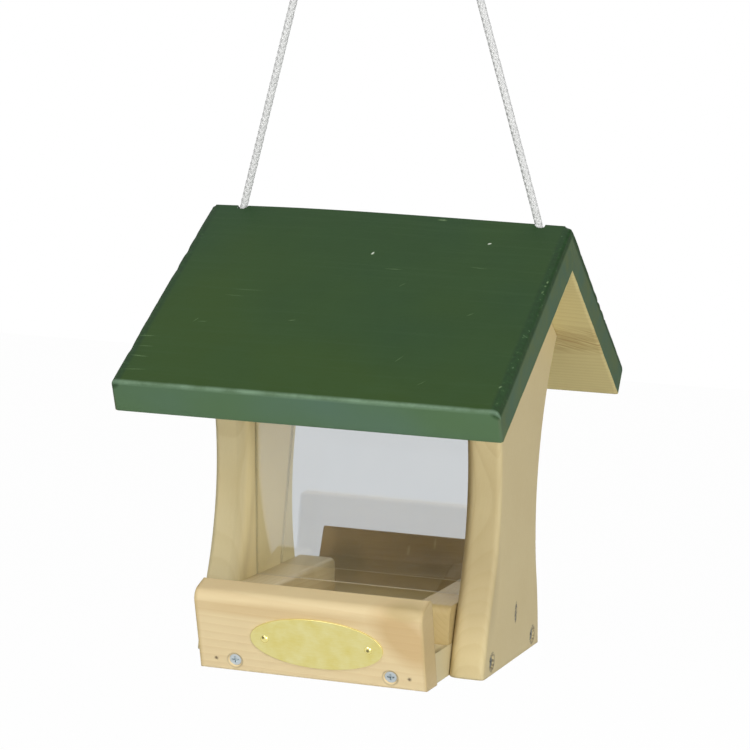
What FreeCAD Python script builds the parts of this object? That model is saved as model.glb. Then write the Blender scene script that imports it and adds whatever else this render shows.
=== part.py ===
import FreeCAD, Part
import math
import os

# Hanging bird feeding house: two hourglass side panels on a floor board, leaning tray rails,
# two slanted clear windows that make the seed hopper, and a saddle roof that slides up its cord.
# Millimetres. X runs along the ridge, -Y is the front, +Z is up, Z = 0 is the underside.

# Driving dimensions: side panels
room_w = 131.0          # clear width between the side panels
panel_t = 21.5          # panel thickness
foot_half = 61.0        # half depth of a panel at its foot
waist_half = 41.0       # half depth at the narrowest place
waist_z = 95.0          # height of the narrowest place
waist_r = 150.0         # radius of the hollow curve
foot_z = 44.0           # height where the hollow curve turns into the foot's curve
panel_round = 3.0       # rounding of the curved edges outside
panel_ease = 7.0        # rounding of the curved edges on the room's side

# Driving dimensions: roof
ridge_z = 254.4         # height of the ridge
roof_pitch = 32.4       # slope in degrees
roof_run = 143.6        # ridge to eave, measured level
roof_t = 21.5           # board thickness
roof_overhang = 25.2    # roof past each panel
roof_round = 2.0        # rounding of the painted upper edges
roof_seat_gap = 0.2     # play between the roof and the panel tops
nail_d = 2.2            # lost-head nails across the ridge joint
nail_head_d = 3.4
nail_head_h = 1.2
nail_cover = 1.5        # wood left over a nail's head
nail_pitch = 70.0       # spacing along the ridge
nail_count = 3

# Driving dimensions: tray
floor_t = 18.0          # floor board thickness
strip_w = 22.0          # strip beside each panel, which carries the windows
strip_h = 22.0
strip_round = 3.0       # rounding of the inner top edge
strip_end_round = 5.0   # rounding of the top edges at both ends
strip_set_back = 1.0    # strip's end behind the panel's foot
rail_foot_y = 102.8     # outer bottom edge of a rail from the middle
rail_lean = 19.5        # outward lean in degrees
rail_h = 48.5           # height along the outer face
rail_t = 18.0
rail_past = 1.5         # rail's end past a panel's inner face
rail_round = 6.0        # rounding of the outer top edge
rail_ease = 2.5         # rounding of the inner top edge

# Driving dimensions: windows
window_t = 3.0
window_foot_y = 20.8    # middle of the window's foot from the middle of the house
window_lean = 7.5       # outward lean in degrees
window_foot_gap = 0.1   # play over the strips
window_top_gap = 6.0    # room left under the roof
groove_depth = 6.0      # grooves in the panels
groove_gap = 0.3        # play in the grooves

# Driving dimensions: screws, brads and staples
screw_d = 3.5
screw_head_d = 7.0
screw_sink_d = 9.0      # countersink at the wood's surface
screw_tip = 5.0         # length of the point
recess_w = 1.1          # cross recess
recess_l = 4.2
recess_h = 1.3
fastener_gap = 0.1      # play round every fastener
rail_screw_l = 25.0
rail_screw_inset = 21.0  # from the rail's end
rail_screw_up = 6.3      # along the rail's face from its foot
brad_d = 1.4
brad_l = 24.0
brad_inset = 9.8
brad_up = 6.7
panel_screw_l = 40.0
panel_screw_inset = 17.0  # from the panel's foot corner
panel_screw_z = 7.5
staple_wire = 1.2
staple_w = 9.8          # crown of a staple
staple_l = 30.0
staple_y = 3.8
staple_up = 10.0        # middle of the crown above the floor board

# Driving dimensions: oval plate
plate_w = 78.0
plate_h = 31.0
plate_t = 0.8
plate_x = 4.0           # the plate sits a little off the rail's middle
plate_up = 22.9         # middle of the plate along the rail's face
plate_ease = 0.25
pin_pitch = 61.0
pin_head_d = 4.6
pin_head_h = 1.2
pin_d = 1.4
pin_l = 9.0

# Driving dimensions: cord
cord_d = 4.0
cord_gap = 0.5          # play round the cord in a panel
cord_standoff = 5.0     # cord's way through the ridge, past the panel's outer face
ridge_hole_d = 8.4
ridge_hole_out = 0.4    # the cord leans against the inner side of its hole
cord_hole_drop = 24.2   # cord hole in the panel, below the panel's peak
tail_bend_r = 6.5       # bend at the hole's mouth
tail_top_drop = 8.4     # where the tail passes into the free cord, below the ridge
lip_drop = 3.9          # where the cord bends over the hole's lip, below the ridge
lip_r = 12.0
loop_x = -11.5          # middle of the loop that hangs over a branch or bar
loop_rise = 201.6       # above the ridge
loop_r = 35.0
knot_r = 5.0            # stopper knot
knot_in = 3.4           # knot's middle from the panel's inner face
knot_gap = 0.1

# Values that follow from the driving dimensions
inner_x = room_w / 2
outer_x = inner_x + panel_t
pitch = math.radians(roof_pitch)
roof_slope = math.tan(pitch)
under_z = ridge_z - roof_t / math.cos(pitch)
peak_z = under_z - roof_seat_gap
roof_half_l = outer_x + roof_overhang
lean = math.radians(rail_lean)
rail_inner_y = rail_foot_y - rail_t / math.cos(lean)
rail_half_l = inner_x + rail_past
strip_top = floor_t + strip_h
tilt = math.radians(window_lean)
cord_x = outer_x + cord_standoff
cord_hole_z = peak_z - cord_hole_drop
cord_r = cord_d / 2

X_AXIS = FreeCAD.Vector(1, 0, 0)
Y_AXIS = FreeCAD.Vector(0, 1, 0)
Z_AXIS = FreeCAD.Vector(0, 0, 1)
ORIGIN = FreeCAD.Vector(0, 0, 0)


def yz(y, z):
    return FreeCAD.Vector(0, y, z)


def xz(x, z):
    return FreeCAD.Vector(x, 0, z)


def mirror_x(shape):
    return shape.mirror(ORIGIN, X_AXIS)


def mirror_y(shape):
    return shape.mirror(ORIGIN, Y_AXIS)


def cut_all(shape, tools):
    return shape.cut(Part.makeCompound(tools))


def along_x(wire, x0, x1):
    # a profile drawn in the YZ plane, drawn out from x0 to x1
    face = Part.Face(wire)
    face.translate(X_AXIS * x0)
    return face.extrude(X_AXIS * (x1 - x0))


def polygon(points):
    return Part.makePolygon(points + [points[0]])


def rounded(solid, radius, wanted):
    edges = [edge for edge in solid.Edges if wanted(edge)]
    return solid.makeFillet(radius, edges)


def near(a, b):
    return abs(a - b) < 1e-4


def runs_along_x(edge, y, z):
    # a straight edge along X at the given place
    middle = edge.CenterOfMass
    long_enough = edge.BoundBox.XLength > edge.BoundBox.YLength + edge.BoundBox.ZLength
    return long_enough and near(middle.y, y) and near(middle.z, z)


def on_rail(shape):
    # from the rail's own plane (x along it, y up its face, z outwards) to its place at the front
    shape.Placement = FreeCAD.Placement(yz(-rail_foot_y, 0), FreeCAD.Rotation(X_AXIS, 90 + rail_lean))
    return shape


# Side panels
def waist_y(z):
    # half depth of the panel on its hollow curve
    return waist_half + waist_r - math.sqrt(waist_r ** 2 - (z - waist_z) ** 2)


def panel_top_corner():
    # where the hollow curve meets the slope under the roof
    centre_y = waist_half + waist_r
    rise = peak_z - waist_z
    a = 1 + roof_slope ** 2
    b = -2 * (centre_y + roof_slope * rise)
    c = centre_y ** 2 + rise ** 2 - waist_r ** 2
    y = (-b - math.sqrt(b * b - 4 * a * c)) / (2 * a)
    return yz(y, peak_z - roof_slope * y)


def foot_arc_middle(start, end):
    # middle of the arc that leaves the hollow curve smoothly at start and ends at the foot
    centre = yz(waist_half + waist_r, waist_z)
    across = (start - centre).normalize()
    chord = end - start
    radius = chord.dot(chord) / (2 * across.dot(chord))
    arc_centre = start + across * radius
    out = ((start + end) * 0.5 - arc_centre).normalize()
    return arc_centre + out * abs(radius)


def panel_outline():
    top = panel_top_corner()
    bend = yz(waist_y(foot_z), foot_z)
    foot = yz(foot_half, 0)
    waist_mid_z = (bend.z + top.z) / 2
    waist = yz(waist_y(waist_mid_z), waist_mid_z)
    foot_mid = foot_arc_middle(bend, foot)
    peak = yz(0, peak_z)

    def flip(p):
        return yz(-p.y, p.z)

    edges = [
        Part.LineSegment(flip(foot), foot),
        Part.Arc(foot, foot_mid, bend),
        Part.Arc(bend, waist, top),
        Part.LineSegment(top, peak),
        Part.LineSegment(peak, flip(top)),
        Part.Arc(flip(top), flip(waist), flip(bend)),
        Part.Arc(flip(bend), flip(foot_mid), flip(foot)),
    ]
    return Part.Wire([edge.toShape() for edge in edges])


def window_line():
    # foot of the front window's middle line, its upward direction and its inward normal
    foot = yz(-window_foot_y, strip_top + window_foot_gap + window_t / 2 * math.sin(tilt))
    up = yz(-math.sin(tilt), math.cos(tilt))
    inward = yz(math.cos(tilt), math.sin(tilt))
    return foot, up, inward


def slanted(start, end, thickness, x0, x1):
    # a flat piece along the window's line, from start to end, measured up from its foot
    foot, up, inward = window_line()
    half = inward * (thickness / 2)
    low = foot + up * start
    high = foot + up * end
    return along_x(polygon([low - half, low + half, high + half, high - half]), x0, x1)


def window_length():
    # the outer top edge stops short of the roof's underside
    foot = window_line()[0]
    half = window_t / 2
    outer_y = window_foot_y + half * math.cos(tilt)
    room = under_z - window_top_gap - foot.z + half * math.sin(tilt) - roof_slope * outer_y
    return room / (math.cos(tilt) + roof_slope * math.sin(tilt))


def window_front():
    half_w = inner_x + groove_depth - groove_gap
    return slanted(0, window_length(), window_t, -half_w, half_w)


def groove():
    # open at the panel's top, a little deeper than the window's foot
    past_top = window_length() + window_top_gap + panel_t
    width = window_t + 2 * groove_gap
    return slanted(-groove_gap, past_top, width, inner_x - panel_t, inner_x + groove_depth)


# Countersunk cross-recess screws, pointing down from the wood's surface at z = 0
def screw_shape(length, play):
    head_r = screw_sink_d / 2
    shank_r = screw_d / 2
    cone_h = head_r - shank_r
    cone = Part.makeCone(shank_r + play, head_r + play, cone_h, FreeCAD.Vector(0, 0, -cone_h))
    shank_l = length - screw_tip - cone_h
    shank = Part.makeCylinder(shank_r + play, shank_l, FreeCAD.Vector(0, 0, -cone_h), -Z_AXIS)
    tip = Part.makeCone(shank_r + play, play, screw_tip, FreeCAD.Vector(0, 0, -cone_h - shank_l), -Z_AXIS)
    return cone.fuse([shank, tip]).removeSplitter()


def screw(length):
    sink = (screw_sink_d - screw_head_d) / 2
    wide = screw_sink_d
    over_head = Part.makeBox(wide, wide, sink, FreeCAD.Vector(-wide / 2, -wide / 2, -sink))
    body = screw_shape(length, 0).cut(over_head)
    arms = []
    for long_x, long_y in ((recess_l, recess_w), (recess_w, recess_l)):
        corner = FreeCAD.Vector(-long_x / 2, -long_y / 2, -sink - recess_h)
        arms.append(Part.makeBox(long_x, long_y, recess_h, corner))
    return body.cut(arms[0].fuse(arms[1]))


def screw_hole(length):
    return screw_shape(length, fastener_gap)


def brad(play):
    return Part.makeCylinder(brad_d / 2 + play, brad_l + play, ORIGIN, -Z_AXIS)


def rail_copies(shape, inset, up):
    # the same fastener near both ends of the front rail
    copies = []
    for side in (-1, 1):
        one = shape.copy()
        one.translate(FreeCAD.Vector(side * (rail_half_l - inset), up, 0))
        holder = Part.makeCompound([one])
        copies.append(on_rail(holder).Solids[0])
    return copies


def panel_copies(shape):
    # the same screw near both feet of the right panel, pointing inwards
    copies = []
    for side in (-1, 1):
        one = shape.copy()
        place = FreeCAD.Vector(outer_x, side * (foot_half - panel_screw_inset), panel_screw_z)
        one.Placement = FreeCAD.Placement(place, FreeCAD.Rotation(Z_AXIS, X_AXIS))
        copies.append(one)
    return copies


def staple(play):
    # a wire staple driven from the right panel's outer face into the strip
    wire = staple_wire + 2 * play
    low = floor_t + staple_up - staple_w / 2 - play
    near_y = staple_y - wire / 2
    high = low + staple_w + 2 * play
    corner = FreeCAD.Vector(outer_x - staple_wire - play, near_y, low)
    crown = Part.makeBox(staple_wire + play, wire, high - low, corner)
    legs = []
    for z in (low, high - wire):
        corner = FreeCAD.Vector(outer_x - staple_l - play, near_y, z)
        legs.append(Part.makeBox(staple_l, wire, wire, corner))
    return crown.fuse(legs).removeSplitter()


def side_panel_right():
    blank = along_x(panel_outline(), inner_x, outer_x)

    def curved_at(edge, x):
        return isinstance(edge.Curve, Part.Circle) and near(edge.CenterOfMass.x, x)

    eased = rounded(blank, panel_ease, lambda edge: curved_at(edge, inner_x))
    panel = rounded(eased, panel_round, lambda edge: curved_at(edge, outer_x))
    cord_hole = Part.makeCylinder(cord_r + cord_gap, panel_t, xz(inner_x, cord_hole_z), X_AXIS)
    tools = [groove(), mirror_y(groove()), cord_hole, staple(fastener_gap)]
    return cut_all(panel, tools + panel_copies(screw_hole(panel_screw_l)))


# Tray
def rail_face_y(z):
    # inner face of the front rail
    return -rail_inner_y - z * math.tan(lean)


def floor_board():
    low_y = rail_face_y(0)
    high_y = rail_face_y(floor_t)
    outline = [yz(low_y, 0), yz(-low_y, 0), yz(-high_y, floor_t), yz(high_y, floor_t)]
    board = along_x(polygon(outline), -inner_x, inner_x)
    rail_holes = rail_copies(screw_hole(rail_screw_l), rail_screw_inset, rail_screw_up)
    rail_holes += rail_copies(brad(fastener_gap), brad_inset, brad_up)
    panel_holes = panel_copies(screw_hole(panel_screw_l))
    tools = rail_holes + [mirror_y(hole) for hole in rail_holes]
    tools += panel_holes + [mirror_x(hole) for hole in panel_holes]
    return cut_all(board, tools)


def seed_strip_right():
    # beside the panel, nearly as long as the panel's foot is deep
    half_l = foot_half - strip_set_back
    blank = Part.makeBox(strip_w, 2 * half_l, strip_h, FreeCAD.Vector(inner_x - strip_w, -half_l, floor_t))

    def top_end(edge):
        middle = edge.CenterOfMass
        return near(abs(middle.y), half_l) and near(middle.z, strip_top)

    def top_inner(edge):
        middle = edge.CenterOfMass
        return near(middle.x, inner_x - strip_w) and near(middle.y, 0) and near(middle.z, strip_top)

    ended = rounded(blank, strip_end_round, top_end)
    return rounded(ended, strip_round, top_inner).cut(staple(fastener_gap))


def front_rail_blank():
    up = yz(-math.sin(lean), math.cos(lean))
    inward = yz(math.cos(lean), math.sin(lean))
    outer_foot = yz(-rail_foot_y, 0)
    outer_top = outer_foot + up * rail_h
    inner_top = outer_top + inward * rail_t
    outline = polygon([outer_foot, yz(-rail_inner_y, 0), inner_top, outer_top])
    blank = along_x(outline, -rail_half_l, rail_half_l)
    eased = rounded(blank, rail_round, lambda edge: runs_along_x(edge, outer_top.y, outer_top.z))
    return rounded(eased, rail_ease, lambda edge: runs_along_x(edge, inner_top.y, inner_top.z))


def rail_bored():
    tools = rail_copies(screw_hole(rail_screw_l), rail_screw_inset, rail_screw_up)
    tools += rail_copies(brad(fastener_gap), brad_inset, brad_up)
    return cut_all(front_rail_blank(), tools)


# Oval plate and its two dome-headed pins, on the front rail's face
def pin_places():
    return [FreeCAD.Vector(plate_x + side * pin_pitch / 2, plate_up, 0) for side in (-1, 1)]


def pin_hole(place):
    return Part.makeCylinder(pin_d / 2 + fastener_gap, pin_l + plate_t, place + Z_AXIS * plate_t, -Z_AXIS)


def pin_holes():
    return Part.makeCompound([pin_hole(place) for place in pin_places()])


def name_plate():
    ellipse = Part.Ellipse(FreeCAD.Vector(plate_x, plate_up, 0), plate_w / 2, plate_h / 2)
    blank = Part.Face(Part.Wire(ellipse.toShape())).extrude(Z_AXIS * plate_t)
    plate = rounded(blank, plate_ease, lambda edge: near(edge.CenterOfMass.z, plate_t))
    return on_rail(Part.makeCompound([plate.cut(pin_holes())]))


def plate_pins():
    ball_r = ((pin_head_d / 2) ** 2 + pin_head_h ** 2) / (2 * pin_head_h)
    pins = []
    for place in pin_places():
        seat = place + Z_AXIS * plate_t
        ball = Part.makeSphere(ball_r, seat + Z_AXIS * (pin_head_h - ball_r))
        wide = 2 * pin_head_d
        keep = Part.makeBox(wide, wide, ball_r, seat - FreeCAD.Vector(wide / 2, wide / 2, 0))
        shank = Part.makeCylinder(pin_d / 2, pin_l, seat, -Z_AXIS)
        pins.append(ball.common(keep).fuse(shank).removeSplitter())
    return on_rail(Part.makeCompound(pins))


def front_rail():
    return rail_bored().cut(on_rail(pin_holes()))


# Roof
def nail_places():
    first = -nail_pitch * (nail_count - 1) / 2
    return [first + nail_pitch * i for i in range(nail_count)]


def nail(x, play):
    # level, across the ridge joint, with as much wood over its head as past its point
    z = (ridge_z + under_z) / 2
    reach = (ridge_z - z - nail_head_d / 2) / roof_slope - nail_cover
    start = FreeCAD.Vector(x, -reach - play, z)
    head = Part.makeCylinder(nail_head_d / 2 + play, nail_head_h + play, start, Y_AXIS)
    shank = Part.makeCylinder(nail_d / 2 + play, 2 * (reach + play), start, Y_AXIS)
    return head.fuse(shank).removeSplitter()


def ridge_nails():
    return Part.makeCompound([nail(x, 0) for x in nail_places()])


def roof_blank():
    eave = yz(-roof_run, ridge_z - roof_run * roof_slope)
    eave_under = eave + yz(math.sin(pitch), -math.cos(pitch)) * roof_t
    outline = polygon([yz(0, ridge_z), eave, eave_under, yz(0, under_z)])
    blank = along_x(outline, -roof_half_l, roof_half_l)
    middle = yz(-roof_run / 2, ridge_z - roof_run / 2 * roof_slope)

    def upper_edge(edge):
        centre = edge.CenterOfMass
        at_eave = near(centre.y, eave.y) and near(centre.z, eave.z)
        at_gable = near(abs(centre.x), roof_half_l) and near(centre.y, middle.y) and near(centre.z, middle.z)
        return at_eave or at_gable

    return rounded(blank, roof_round, upper_edge)


def roof_board(blank):
    depth = ridge_z - under_z
    tools = [nail(x, fastener_gap) for x in nail_places()]
    for side in (-1, 1):
        hole_x = side * (cord_x + ridge_hole_out)
        tools.append(Part.makeCylinder(ridge_hole_d / 2, 3 * depth, xz(hole_x, under_z - depth)))
    return cut_all(blank, tools)


# Cord
def tube(wire):
    start = wire.OrderedVertexes[0].Point
    heading = wire.OrderedEdges[0].tangentAt(wire.OrderedEdges[0].FirstParameter)
    section = Part.Wire(Part.makeCircle(cord_r, start, heading))
    return wire.makePipeShell([section], True, False)


def bend(before, corner, after, radius):
    # the arc that rounds a corner of the cord's way, as its start, middle and end
    back = (before - corner).normalize()
    on = (after - corner).normalize()
    half = back.getAngle(on) / 2
    reach = radius / math.tan(half)
    middle_way = (back + on).normalize()
    centre = corner + middle_way * (radius / math.sin(half))
    return corner + back * reach, centre - middle_way * radius, corner + on * reach


def path(pieces):
    # straight runs between the arcs, in order
    edges = []
    at = pieces[0]
    for arc in pieces[1:-1]:
        edges.append(Part.LineSegment(at, arc[0]).toShape())
        edges.append(Part.Arc(*arc).toShape())
        at = arc[2]
    edges.append(Part.LineSegment(at, pieces[-1]).toShape())
    return Part.Wire(edges)


def loop_touch(point, side):
    # where the straight leg from point meets the loop's circle, on its outer side
    centre = xz(loop_x, ridge_z + loop_rise)
    way = point - centre
    distance = way.Length
    turn = side * math.acos(loop_r / distance)
    start = math.atan2(way.z, way.x) + turn
    return centre + xz(math.cos(start), math.sin(start)) * loop_r


def hanging_cord_path():
    # up out of the right hole, over the loop and down into the left hole
    centre = xz(loop_x, ridge_z + loop_rise)
    ends = [xz(side * cord_x, ridge_z - tail_top_drop) for side in (1, -1)]
    lips = [xz(side * cord_x, ridge_z - lip_drop) for side in (1, -1)]
    right = loop_touch(lips[0], 1)
    left = loop_touch(lips[1], -1)
    over = ((right + left) * 0.5 - centre).normalize()
    loop = (right, centre + over * loop_r, left)
    right_lip = bend(ends[0], lips[0], right, lip_r)
    left_lip = bend(left, lips[1], ends[1], lip_r)
    return path([ends[0], right_lip, loop, left_lip, ends[1]])


def tail_path():
    # out of the knot, through the right panel and up through the ridge
    start = xz(inner_x - knot_gap, cord_hole_z)
    corner = xz(cord_x, cord_hole_z)
    top = xz(cord_x, ridge_z - tail_top_drop)
    return path([start, bend(start, corner, top, tail_bend_r), top])


def cord_knot_right():
    ball = Part.makeSphere(knot_r, xz(inner_x - knot_in, cord_hole_z))
    flat = xz(inner_x - knot_gap, cord_hole_z) - FreeCAD.Vector(0, knot_r, knot_r)
    return ball.cut(Part.makeBox(2 * knot_r, 2 * knot_r, 2 * knot_r, flat))


def report_cord(name, wire, solid):
    arcs = [round(edge.Curve.Radius, 1) for edge in wire.Edges if isinstance(edge.Curve, Part.Circle)]
    share = solid.Volume / (math.pi * cord_r ** 2 * wire.Length)
    print(name, "length", round(wire.Length, 1), "arc radii", arcs)
    print(name, "volume over section times length", round(share, 4))


def save(name, shape):
    solids = shape.Solids
    whole = solids[0] if len(solids) == 1 else Part.makeCompound(solids)
    print(name, "solids", len(solids), "valid", whole.isValid(), "volume", round(whole.Volume, 1))
    whole.exportStep("parts/" + name + ".step")


def main():
    os.makedirs("parts", exist_ok=True)

    panel = side_panel_right()
    save("side_panel_right", panel)
    save("side_panel_left", mirror_x(panel))
    save("floor_board", floor_board())
    strip = seed_strip_right()
    save("seed_strip_right", strip)
    save("seed_strip_left", mirror_x(strip))
    save("front_rail", front_rail())
    save("back_rail", mirror_y(rail_bored()))

    window = window_front()
    save("window_front", window)
    save("window_back", mirror_y(window))

    save("name_plate", name_plate())
    save("plate_pins", plate_pins())

    rail_screws = Part.makeCompound(rail_copies(screw(rail_screw_l), rail_screw_inset, rail_screw_up))
    save("front_rail_screws", rail_screws)
    save("back_rail_screws", mirror_y(rail_screws))
    brads = Part.makeCompound(rail_copies(brad(0), brad_inset, brad_up))
    save("front_rail_brads", brads)
    save("back_rail_brads", mirror_y(brads))
    panel_screws = Part.makeCompound(panel_copies(screw(panel_screw_l)))
    save("right_panel_screws", panel_screws)
    save("left_panel_screws", mirror_x(panel_screws))
    save("strip_staple_right", staple(0))
    save("strip_staple_left", mirror_x(staple(0)))

    blank = roof_blank()
    save("roof_board_front", roof_board(blank))
    save("roof_board_back", roof_board(mirror_y(blank)))
    save("ridge_nails", ridge_nails())

    cord = tube(hanging_cord_path())
    report_cord("hanging_cord", hanging_cord_path(), cord)
    save("hanging_cord", cord)
    tail = tube(tail_path())
    report_cord("cord_tail_right", tail_path(), tail)
    save("cord_tail_right", tail)
    save("cord_tail_left", mirror_x(tail))
    knot = cord_knot_right()
    save("cord_knot_right", knot)
    save("cord_knot_left", mirror_x(knot))


main()
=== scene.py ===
import math
import bmesh
import bpy
from mathutils import Matrix, Vector, noise


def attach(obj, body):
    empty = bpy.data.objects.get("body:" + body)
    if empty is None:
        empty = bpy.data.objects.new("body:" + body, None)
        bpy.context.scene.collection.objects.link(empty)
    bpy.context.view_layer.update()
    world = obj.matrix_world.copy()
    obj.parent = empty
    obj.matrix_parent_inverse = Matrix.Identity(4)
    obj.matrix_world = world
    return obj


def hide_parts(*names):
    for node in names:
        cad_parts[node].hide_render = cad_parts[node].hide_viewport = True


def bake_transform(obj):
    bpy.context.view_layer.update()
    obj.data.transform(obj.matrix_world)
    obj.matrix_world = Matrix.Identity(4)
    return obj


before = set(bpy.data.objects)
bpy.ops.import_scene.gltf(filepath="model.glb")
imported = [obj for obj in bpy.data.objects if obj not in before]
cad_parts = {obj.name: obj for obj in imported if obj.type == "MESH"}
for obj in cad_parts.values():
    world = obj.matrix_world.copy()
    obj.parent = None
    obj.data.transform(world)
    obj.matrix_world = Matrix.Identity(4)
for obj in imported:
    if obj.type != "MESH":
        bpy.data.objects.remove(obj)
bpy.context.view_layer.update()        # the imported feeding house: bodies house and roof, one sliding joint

print("frame loaded:", len(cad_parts), "nodes")
scene = bpy.context.scene
scene.view_settings.view_transform = "Standard"

def linear(hexColour):        # sRGB hex to the linear colour that a socket takes
    parts = [int(hexColour[i:i + 2], 16) / 255 for i in (1, 3, 5)]
    return [c / 12.92 if c <= 0.04045 else ((c + 0.055) / 1.055) ** 2.4 for c in parts] + [1.0]

def addNode(tree, kind, inputs=None, ramp=(), span=(), **settings):        # span: what Map Range maps from
    node = tree.nodes.new("ShaderNode" + kind)
    for name, value in settings.items():
        setattr(node, name, value)
    for key, value in (inputs or {}).items():
        if isinstance(value, bpy.types.Node):        # stands for its first output in use
            value = next(out for out in value.outputs if out.enabled)
        if isinstance(value, bpy.types.NodeSocket):
            tree.links.new(value, node.inputs[key])
        else:
            node.inputs[key].default_value = value
    for key, value in zip(("From Min", "From Max"), span):
        node.inputs[key].default_value = value
    for i, (place, colour) in enumerate(ramp):
        stops = node.color_ramp.elements
        stop = stops[i] if i < 2 else stops.new(place)
        stop.position = place
        stop.color = linear(colour) if isinstance(colour, str) else (colour, colour, colour, 1)
    return node

def fromOval(tree, place, spot, reach, angles=(0, 0, 0)):        # 0 in the middle of an oval, 1 at its edge
    turn = [math.radians(a) for a in angles]
    oval = addNode(tree, "Mapping", {"Vector": place, "Location": spot, "Rotation": turn, "Scale": reach},
                   vector_type="TEXTURE")
    return addNode(tree, "VectorMath", {0: oval}, operation="LENGTH")

def newMaterial(name):
    material = bpy.data.materials.new(name)
    material.use_nodes = True
    material.node_tree.nodes.clear()
    return material, material.node_tree

def newPiece(name, data, body=None):
    piece = bpy.data.objects.new(name, data)
    scene.collection.objects.link(piece)
    if body:
        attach(piece, body)
    return piece

def finishedMesh(piece):        # the piece's shape with its curve or modifiers worked out
    return bpy.data.meshes.new_from_object(piece.evaluated_get(bpy.context.evaluated_depsgraph_get()))

# Camera, at the photograph's viewing angle
camera = {
    "target": (-0.0047, 0.0006, 0.1611),
    "distance": 1.6138,
    "azimuth": 18.07,
    "elevation": 6.33,
    "roll": 2.43,             # the house hangs a little askew
    "lens": 131.63,
    "sensor": 36,
}

def makeCamera():
    data = bpy.data.cameras.new("photoCamera")
    data.sensor_width = camera["sensor"]
    data.lens = camera["lens"]
    turn = Matrix.Rotation(math.radians(camera["azimuth"]), 4, "Z")
    turn = turn @ Matrix.Rotation(math.radians(90 - camera["elevation"]), 4, "X")
    turn = turn @ Matrix.Rotation(math.radians(camera["roll"]), 4, "Z")
    away = Matrix.Translation((0, 0, camera["distance"]))
    scene.camera = newPiece("photoCamera", data)
    scene.camera.matrix_world = Matrix.Translation(camera["target"]) @ turn @ away

makeCamera()
print("camera set")

# Studio: pale floor well below the hanging house, soft light from the camera's side
studio = {
    "floorZ": -0.50,
    "floorHalf": 6.0,
    "floorColour": "#F6F6F4",
    "floorGlow": 0.985,       # share of plain white that the camera sees, the rest keeps the shadow
    "throughPanes": 0.65,     # how bright the same backdrop looks through the windows
    "worldLight": 0.15,
    "lampAim": (0.0, 0.0, 0.15),
    "lamps": {"softboxRight": {"place": (1.6, -1.8, 0.35), "size": 1.4, "watts": 32.4},
              "softboxFront": {"place": (-0.4, -1.8, 1.7), "size": 1.4, "watts": 27.0},
              "softboxBack": {"place": (-0.1, 2.2, 0.9), "size": 1.4, "watts": 11.0}},
}

def makeWorld():        # weak even light, but plain white to the camera and in what shines
    world = bpy.data.worlds.new("studioWorld")
    scene.world = world
    world.use_nodes = True
    tree = world.node_tree
    tree.nodes.clear()
    path = addNode(tree, "LightPath").outputs
    shown = addNode(tree, "Math", {0: path["Is Camera Ray"], 1: path["Is Glossy Ray"]}, operation="MAXIMUM")
    dim = addNode(tree, "MapRange", {"Value": path["Is Transmission Ray"], "To Min": studio["worldLight"],
                                     "To Max": studio["throughPanes"]})
    strength = addNode(tree, "Math", {0: shown, 1: dim}, operation="MAXIMUM")
    back = addNode(tree, "Background", {"Color": (1, 1, 1, 1), "Strength": strength})
    addNode(tree, "OutputWorld", {"Surface": back})

def paperMaterial():        # matt white paper: plain white to look at, with the house's soft shadow on it
    material, tree = newMaterial("matt white paper")
    path = addNode(tree, "LightPath").outputs
    matt = addNode(tree, "BsdfDiffuse", {"Color": linear(studio["floorColour"])})
    bright = addNode(tree, "MapRange", {"Value": path["Is Transmission Ray"], "To Min": 1.0,
                                        "To Max": studio["throughPanes"]})
    glow = addNode(tree, "Emission", {"Color": (1, 1, 1, 1), "Strength": bright})
    shown = addNode(tree, "Math", {0: path["Is Camera Ray"], 1: path["Is Glossy Ray"]}, operation="MAXIMUM")
    shown = addNode(tree, "Math", {0: shown, 1: path["Is Transmission Ray"]}, operation="MAXIMUM")
    share = addNode(tree, "Math", {0: shown, 1: studio["floorGlow"]}, operation="MULTIPLY")
    both = addNode(tree, "MixShader", {0: share, 1: matt, 2: glow})
    addNode(tree, "OutputMaterial", {"Surface": both})
    return material

def makeStudio():
    makeWorld()
    bm = bmesh.new()
    bmesh.ops.create_grid(bm, x_segments=1, y_segments=1, size=studio["floorHalf"],
                          matrix=Matrix.Translation((0, 0, studio["floorZ"])))
    mesh = bpy.data.meshes.new("studioFloor")
    bm.to_mesh(mesh)
    bm.free()
    floor = newPiece("studioFloor", mesh)
    mesh.materials.append(paperMaterial())
    for name, lamp in studio["lamps"].items():
        data = bpy.data.lights.new(name, "AREA")
        data.shape = "DISK"
        data.size = lamp["size"]
        data.energy = lamp["watts"]
        way = Vector(studio["lampAim"]) - Vector(lamp["place"])
        turn = way.to_track_quat("-Z", "Y").to_matrix().to_4x4()
        newPiece(name, data).matrix_world = Matrix.Translation(lamp["place"]) @ turn

makeStudio()
print("studio set")

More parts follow.
